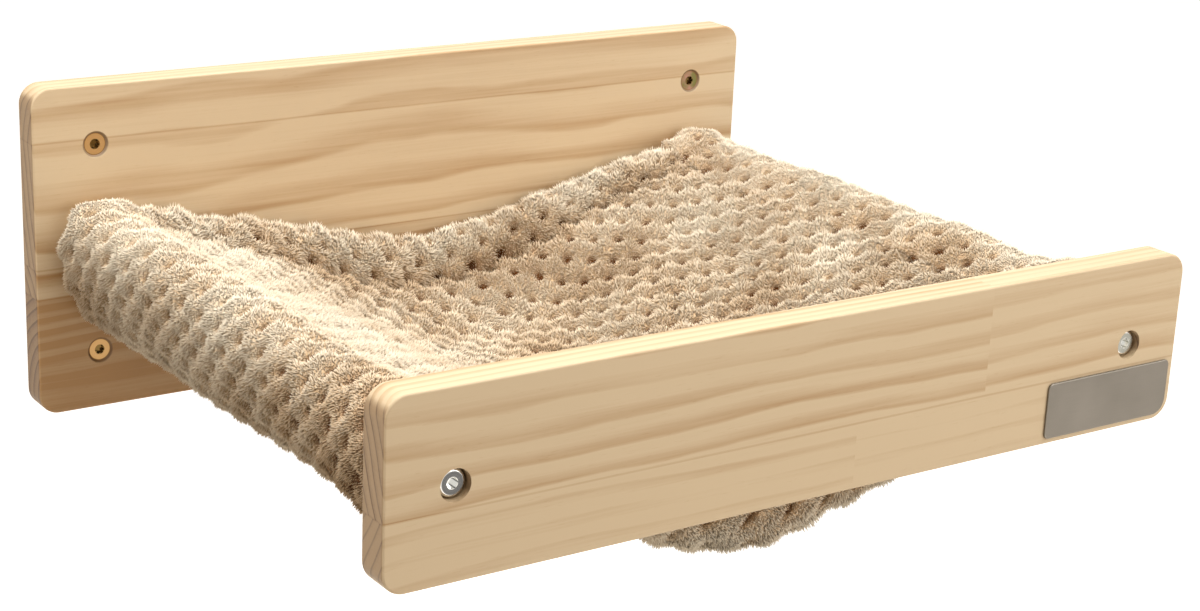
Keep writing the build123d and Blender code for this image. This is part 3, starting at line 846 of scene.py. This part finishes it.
def hem(name, ring, start, seed, pile, away, under, drift):
    """A stuffed roll. away is the way that the pattern runs on from the crease at start.

    under is painted light on the roll's underside, and drift is how far its middle hangs to the
    left there.
    """
    far, line = smooth_ring(ring)
    depth, sag, drop = (line[:, axis][:, None] for axis in range(3))
    ends = mat_end(depth, sag) + HEM_PAST
    columns = int(round(2 * float(ends.max()) / 0.0024))
    along = ends * np.linspace(-1.0, 1.0, columns)[None, :]
    high = swell(along, start + far[:, None] * away)
    bumps = HEM_PUFF * high + HEM_UNEVEN * roll_noise(along, far[:, None], 0.06, seed)
    mid_depth = np.full(depth.shape, np.mean(depth))
    mid_sag = np.full(depth.shape, float(np.mean(sag)))
    skin = cloth(along, depth, drop, sag)
    out = skin - cloth(along, mid_depth, 0.013, mid_sag)
    out /= np.linalg.norm(out, axis=-1, keepdims=True)
    skin = skin + out * (bumps - HEM_SUNK)[..., None] * np.clip(far[:, None] / 0.004, 0, 1)[..., None]
    thin = 0.85 * ease(np.abs(along), ends - 0.016, ends)[..., None]
    skin = skin * (1 - thin) + cloth(along, mid_depth, 0.0080, mid_sag) * thin
    low = ease(far, 0.40 * far[-1], 0.62 * far[-1])[:, None]
    middle_share = np.clip(1 - (skin[..., 0] / 0.17) ** 2, 0, 1) ** 1.5
    skin[..., 0] -= drift * low * middle_share

    rows = len(far)
    index = np.arange(rows * columns).reshape(rows, columns)
    after = np.roll(index, -1, axis=0)
    sides = np.stack([index[:, :-1], index[:, 1:], after[:, 1:], after[:, :-1]], -1).reshape(-1, 4)
    mesh = bpy.data.meshes.new(name)
    caps = [index[:, 0].tolist(), index[::-1, -1].tolist()]
    mesh.from_pydata(skin.reshape(-1, 3).tolist(), [], sides.tolist() + caps)
    shown = np.clip(far / 0.003, 0, 1) * np.clip((far[-1] - far) / 0.003, 0, 1)
    shown = np.broadcast_to(shown[:, None], high.shape)
    # Painted shade and light in the tone: darker in the pits and towards the crease, where shade falls, and
    # lighter on the underside by under.
    shade = 0.66 + 0.14 * roll_noise(along, far[:, None], 0.05, seed + 1) - 0.60 * ease(-high, -0.84, -0.15)
    shade = shade - 0.42 * np.exp(-far[:, None] / 0.012)
    shade = shade + under * ease(far[:, None], 0.4 * far[-1], 0.7 * far[-1])
    facts = {"pile": (pile[0] + (pile[1] - pile[0]) * high) * (0.3 + 0.7 * shown),
             "cover": np.where(shown > 0.05, 1.0, 0.0), "shade": shade, "calm": out,
             "nap": nap_field(along, far[:, None], seed + 2, 0.16) + np.array((0.0, 0.0, -0.2))}
    for fact, grid in facts.items():
        carry(mesh, fact, grid)
    return grow_pile(finished_body(name, mesh), cream_plush, Seed=seed, **FINE)


# %% Hems and sleeves
back_roll = hem("back_roll_pile", BACK_RING, BACK_CREASE, 41, (0.0012, 0.0044), -1.0, 0.0, 0.0)
front_roll = hem("front_roll_pile", FRONT_RING, FRONT_CREASE, 51, (0.0010, 0.0036), 1.0, 0.16, 0.012)
# TONE_BY_SEAT is the seat's tone beside a sleeve. A sleeve's base tone is painted light: a step lighter than
# the seat's on the left and more on the right, taken back down to TONE_BY_SEAT next to the seat. The left
# sleeve also gets painted shade on its lower and outer side.
TONE_BY_SEAT = 0.50
SLEEVE = dict(puff=0.0070, groove=0.06, pitted=0.97, crest=0.0036, rise=0.0020, tuck=0.0048, pits=0.66,
              ridge=0.22, **FINE)
sleeve_ends = {"left": (lambda d: -seam_end(d), lambda d: -mat_end(d) - GAP),
               "right": (lambda d: mat_end(d) + GAP, seam_end)}
sleeves = {}
for side, seed, tone_and_painted_light, low_shade in (("left", 61, 0.66, 0.20), ("right", 71, 0.80, 0.0)):
    sleeves[side] = plush_layer(f"sleeve_{side}_pile", *sleeve_ends[side], BACK + 0.001, FRONT - 0.001,
                                0.0046, 0.0096, (0.0006, 0.0028), (0.0, -0.1, -0.2), seed,
                                tone_and_painted_light=tone_and_painted_light, low_shade=low_shade, blend=tone_and_painted_light - TONE_BY_SEAT, **SLEEVE)

# %% Attach each piece to the root and hide the CAD part it replaces
PAD, ROLL = 0.35, 0.7
soft = [(seat, "seat_plush", "plush", PAD), (belly, "belly_plush", "plush", PAD),
        (wadding, "seat_wadding", "wadding", PAD), (back_roll, "back_roll", "plush", ROLL),
        (front_roll, "front_roll", "plush", ROLL), (sleeves["left"], "sleeve_left", "plush", PAD),
        (sleeves["right"], "sleeve_right", "plush", PAD)]
for piece, node_name, slot_name, fill in soft:
    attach(piece, "root")
    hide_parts(node_name)
print("mat made of", len(soft), "pieces")

# %% [markdown]
# ## Camera
# The lens and the place come from fitting the boards' edges to the picture: a lens of about 70 mm
# on a 36 mm sensor, 1.4 m from the middle of the wall face, to the left and a little above.

# %% Camera
SENSOR_WIDTH, PICTURE_WIDTH, FOCAL_PIXELS = 36.0, 1200.0, 2342.0
camera_data = bpy.data.cameras.new("camera")
camera_data.sensor_width = SENSOR_WIDTH
camera_data.lens = FOCAL_PIXELS / PICTURE_WIDTH * SENSOR_WIDTH
camera = bpy.data.objects.new("camera", camera_data)
scene.collection.objects.link(camera)
right = Vector((0.82766, -0.55963, 0.04239)).normalized()
ahead = Vector((0.54389, 0.78117, -0.30652)).normalized()
up = right.cross(ahead).normalized()
turned = Matrix((right, up, -ahead)).transposed().to_4x4()
camera.matrix_world = Matrix.Translation((-0.6599, -1.1590, 0.3676)) @ turned
scene.camera = camera

# %% [markdown]
# ## Light, floor and background
# The picture is a cut-out on white, lit from above: the boards' top edges are nearly white, their
# faces are a step darker and the left ends darker still. One broad lamp overhead gives that, with
# weaker ones from the front right and from above the left side, and a faint warm light all round;
# the ends also get painted shade in their end-grain colour.
# The floor lies well below, as under a shelf on a wall, and keeps a soft shadow. What the camera
# sees behind the object is white by a Light Path switch, which adds no light.


# %% Lamps
def lamp(name, place, aim, size, watts, colour):
    data = bpy.data.lights.new(name, "AREA")
    data.shape = "DISK"
    data.size = size
    data.energy = watts
    data.color = colour
    thing = bpy.data.objects.new(name, data)
    thing.location = place
    thing.rotation_mode = "QUATERNION"
    thing.rotation_quaternion = (Vector(aim) - Vector(place)).to_track_quat("-Z", "Y")
    scene.collection.objects.link(thing)


lamp("key_above", (0.20, -0.30, 1.5), (0.0, -0.2, 0.0), 1.5, 27.6, (1.0, 0.995, 0.985))
lamp("fill_front", (0.9, -1.6, 0.6), (0.0, -0.2, 0.0), 1.4, 15.5, (1.0, 0.99, 0.975))
lamp("fill_left", (-0.85, -0.14, 1.0), (-0.15, -0.2, 0.0), 0.8, 11.5, (1.0, 0.97, 0.93))


# %% World
def seen_directly(t):
    """1 for what the camera sees, also in metal and glass, and 0 for light that falls on things."""
    path = t.node("ShaderNodeLightPath").outputs
    shown = t.math("MAXIMUM", path["Is Camera Ray"], path["Is Glossy Ray"])
    return t.math("MAXIMUM", shown, path["Is Transmission Ray"])


WHITE, ROOM_LIGHT = (1.0, 1.0, 1.0, 1.0), (1.0, 0.86, 0.70, 1.0)
world = bpy.data.worlds.new("studio")
scene.world = world
world.use_nodes = True
w = Tree(world.node_tree)
backdrop = world.node_tree.nodes["Background"]
seen = seen_directly(w)
w.feed(backdrop.inputs["Color"], w.mix(seen, ROOM_LIGHT, WHITE))
w.feed(backdrop.inputs["Strength"], w.span(seen, 0.0, 1.0, 0.27, 1.0))

# %% Floor
floor_mesh = bpy.data.meshes.new("floor")
half, low = 30.0, -0.75
floor_mesh.from_pydata([(-half, -half, low), (half, -half, low), (half, half, low), (-half, half, low)],
                       [], [(0, 1, 2, 3)])
floor = bpy.data.objects.new("floor", floor_mesh)
scene.collection.objects.link(floor)
floor_material, f, floor_shader = new_material("pale_floor", Roughness=0.8)
f.feed(floor_shader.inputs["Base Color"], (0.86, 0.81, 0.74, 1.0))
f.feed(floor_shader.inputs["Emission Color"], WHITE)
f.feed(floor_shader.inputs["Emission Strength"], f.math("MULTIPLY", seen_directly(f), 0.80))
floor_mesh.materials.append(floor_material)

# %% View settings
scene.view_settings.view_transform = "Standard"
